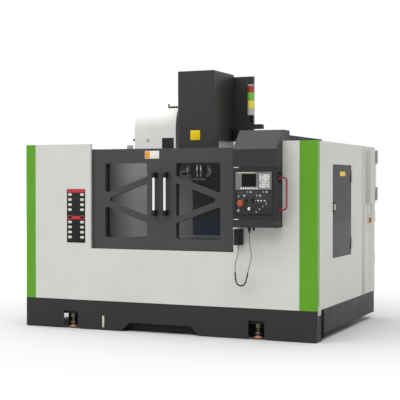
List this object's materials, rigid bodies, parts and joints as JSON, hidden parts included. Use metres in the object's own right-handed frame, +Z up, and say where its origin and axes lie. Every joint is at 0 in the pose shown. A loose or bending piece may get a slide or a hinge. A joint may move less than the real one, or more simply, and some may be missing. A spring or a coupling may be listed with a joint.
{
  "type": "cnc machining center",
  "caption": "Enclosed vertical machining centre with sliding doors, swivelling console, moving table, head and spindle, arm-type tool changer, pendant and cabinet.",
  "frame": {"origin": "on the floor, under the middle of the machine's outline", "axes": "+X to the operator's right, +Y to the back, +Z up along the spindle"},
  "size_m": [3.228, 2.5402, 2.708],
  "materials": {
    "white_paint": "fine texture, satin",
    "green_paint": "satin",
    "dark_paint": "fine texture, matt",
    "door_paint": "fine texture, matt",
    "pale_paint": "satin",
    "console_paint": "fine texture, matt",
    "bed_casting": "painted casting",
    "ground_steel": "ground",
    "bar_steel": "brushed",
    "clear_pane": "clear, laminated",
    "smoked_pane": "smoked, laminated",
    "blue_sheet": "satin",
    "grey_sheet": "sheet",
    "grey_plastic": "matt",
    "dark_plastic": "matt",
    "red_plastic": "gloss",
    "green_plastic": "gloss",
    "red_paint": "satin",
    "cord_rubber": "matt",
    "lamp_plastic": "banded lenses",
    "copper_pads": "satin",
    "yellow_plate": "matt"
  },
  "bodies": {
    "machine": {"front_skirt": "dark_paint", "side_skirts": "dark_paint", "left_front_panel": "white_paint", "right_front_panel": "white_paint", "lower_front_panel": "white_paint", "corner_posts": "green_paint", "left_side_panel": "white_paint", "right_side_panel": "white_paint", "door_rails": "pale_paint", "interlock_switch": "dark_plastic", "console_housing": "console_paint", "pendant_holder": "pale_paint", "pendant_body": "dark_plastic", "cord_gland": "dark_plastic", "cord_upper": "cord_rubber", "cord_coil": "cord_rubber", "cord_lower": "cord_rubber", "bed": "bed_casting", "levelling_feet": "copper_pads", "column": "bed_casting", "lower_way_cover": "blue_sheet", "column_cover": "dark_paint", "tower_light": "lamp_plastic", "magazine_cover": "white_paint", "changer_gearbox": "bed_casting", "electric_cabinet": "white_paint", "cable_duct": "dark_paint", "coolant_tank": "dark_paint", "chip_pan": "pale_paint", "rear_guard": "pale_paint"},
    "left_door": {"left_door": "door_paint", "left_window": "clear_pane", "left_handle": "bar_steel"},
    "right_door": {"right_door": "door_paint", "right_window": "clear_pane", "right_handle": "bar_steel"},
    "side_door": {"side_door": "smoked_pane"},
    "operator_unit": {"operator_unit": "dark_plastic", "display_panel": "grey_plastic", "unit_handle": "red_paint"},
    "stop_button": {"estop_button": "red_plastic"},
    "start_button": {"start_button": "green_plastic"},
    "override_knob": {"override_knob": "dark_plastic"},
    "handwheel": {"handwheel": "dark_plastic"},
    "saddle": {"saddle": "bed_casting", "y_way_cover": "grey_sheet"},
    "table": {"table": "ground_steel"},
    "head": {"head": "bed_casting", "head_cover": "dark_paint", "upper_way_cover": "blue_sheet"},
    "spindle": {"spindle": "ground_steel"},
    "drum": {"tool_drum": "grey_plastic"},
    "sleeve": {"arm_sleeve": "ground_steel"},
    "arm": {"swap_arm": "ground_steel"},
    "main_switch": {"main_switch": "yellow_plate"},
    "cabinet_door": {"cabinet_door": "white_paint", "cooler": "white_paint"},
    "x_screw": {"x_screw": "ground_steel"},
    "y_screw": {"y_screw": "ground_steel"},
    "z_screw": {"z_screw": "ground_steel"}
  },
  "joints": [
    {"name": "left_door_slide", "type": "slide", "parent": "machine", "child": "left_door", "axis": [-1, 0, 0], "range_m": [0, 0.68]},
    {"name": "right_door_slide", "type": "slide", "parent": "machine", "child": "right_door", "axis": [1, 0, 0], "range_m": [0, 0.68]},
    {"name": "side_door_hinge", "type": "hinge", "parent": "machine", "child": "side_door", "pos_m": [1.606, 0.147, 1.228], "axis": [0, 0, 1], "range_deg": [0, 110]},
    {"name": "unit_swivel", "type": "hinge", "parent": "machine", "child": "operator_unit", "pos_m": [0.844, -1.218, 1.406], "axis": [0, 0, -1], "range_deg": [0, 90]},
    {"name": "stop_press", "type": "slide", "parent": "operator_unit", "child": "stop_button", "axis": [0, 1, 0], "range_m": [0, 0.006]},
    {"name": "start_press", "type": "slide", "parent": "operator_unit", "child": "start_button", "axis": [0, 1, 0], "range_m": [0, 0.004], "stiffness_N_per_m": 500, "springref_m": -0.002},
    {"name": "override_turn", "type": "hinge", "parent": "operator_unit", "child": "override_knob", "pos_m": [1.034, -1.244, 1.345], "axis": [0, 1, 0], "range_deg": [0, 270]},
    {"name": "handwheel_turn", "type": "hinge", "parent": "machine", "child": "handwheel", "pos_m": [0.828, -1.133, 0.952], "axis": [0, -1, 0], "continuous": true},
    {"name": "y_axis_slide", "type": "slide", "parent": "machine", "child": "saddle", "axis": [0, 1, 0], "range_m": [-0.28, 0.28]},
    {"name": "x_axis_slide", "type": "slide", "parent": "saddle", "child": "table", "axis": [1, 0, 0], "range_m": [-0.5, 0.5]},
    {"name": "z_axis_slide", "type": "slide", "parent": "machine", "child": "head", "axis": [0, 0, 1], "range_m": [-0.5, 0]},
    {"name": "spindle_spin", "type": "hinge", "parent": "head", "child": "spindle", "pos_m": [-0.028, -0.078, 1.65], "axis": [0, 0, -1], "continuous": true},
    {"name": "drum_turn", "type": "hinge", "parent": "machine", "child": "drum", "pos_m": [-0.55, 0.292, 2.117], "axis": [1, 0, 0], "continuous": true},
    {"name": "sleeve_slide", "type": "slide", "parent": "machine", "child": "sleeve", "axis": [0, 0, -1], "range_m": [0, 0.115]},
    {"name": "arm_swing", "type": "hinge", "parent": "sleeve", "child": "arm", "pos_m": [-0.298, -0.078, 1.5175], "axis": [0, 0, 1], "range_deg": [0, 270]},
    {"name": "main_switch_turn", "type": "hinge", "parent": "machine", "child": "main_switch", "pos_m": [1.615, 0.862, 1.1], "axis": [1, 0, 0], "range_deg": [0, 90]},
    {"name": "cabinet_door_hinge", "type": "hinge", "parent": "machine", "child": "cabinet_door", "pos_m": [1.592, 1.1378, 1.1], "axis": [0, 0, -1], "range_deg": [0, 110]},
    {"name": "x_screw_spin", "type": "hinge", "parent": "saddle", "child": "x_screw", "pos_m": [-0.028, -0.078, 0.792], "axis": [1, 0, 0], "range_deg": [-11500, 11500]},
    {"name": "y_screw_spin", "type": "hinge", "parent": "machine", "child": "y_screw", "pos_m": [-0.028, -0.078, 0.5825], "axis": [0, 1, 0], "range_deg": [-6500, 6500]},
    {"name": "z_screw_spin", "type": "hinge", "parent": "machine", "child": "z_screw", "pos_m": [-0.028, 0.61, 1.7], "axis": [0, 0, 1], "range_deg": [-11500, 100]}
  ],
  "couplings": [
    {"joint": "x_screw_spin", "follows": "x_axis_slide", "rad_per_m": 392.7},
    {"joint": "y_screw_spin", "follows": "y_axis_slide", "rad_per_m": 392.7},
    {"joint": "z_screw_spin", "follows": "z_axis_slide", "rad_per_m": 392.7}
  ]
}
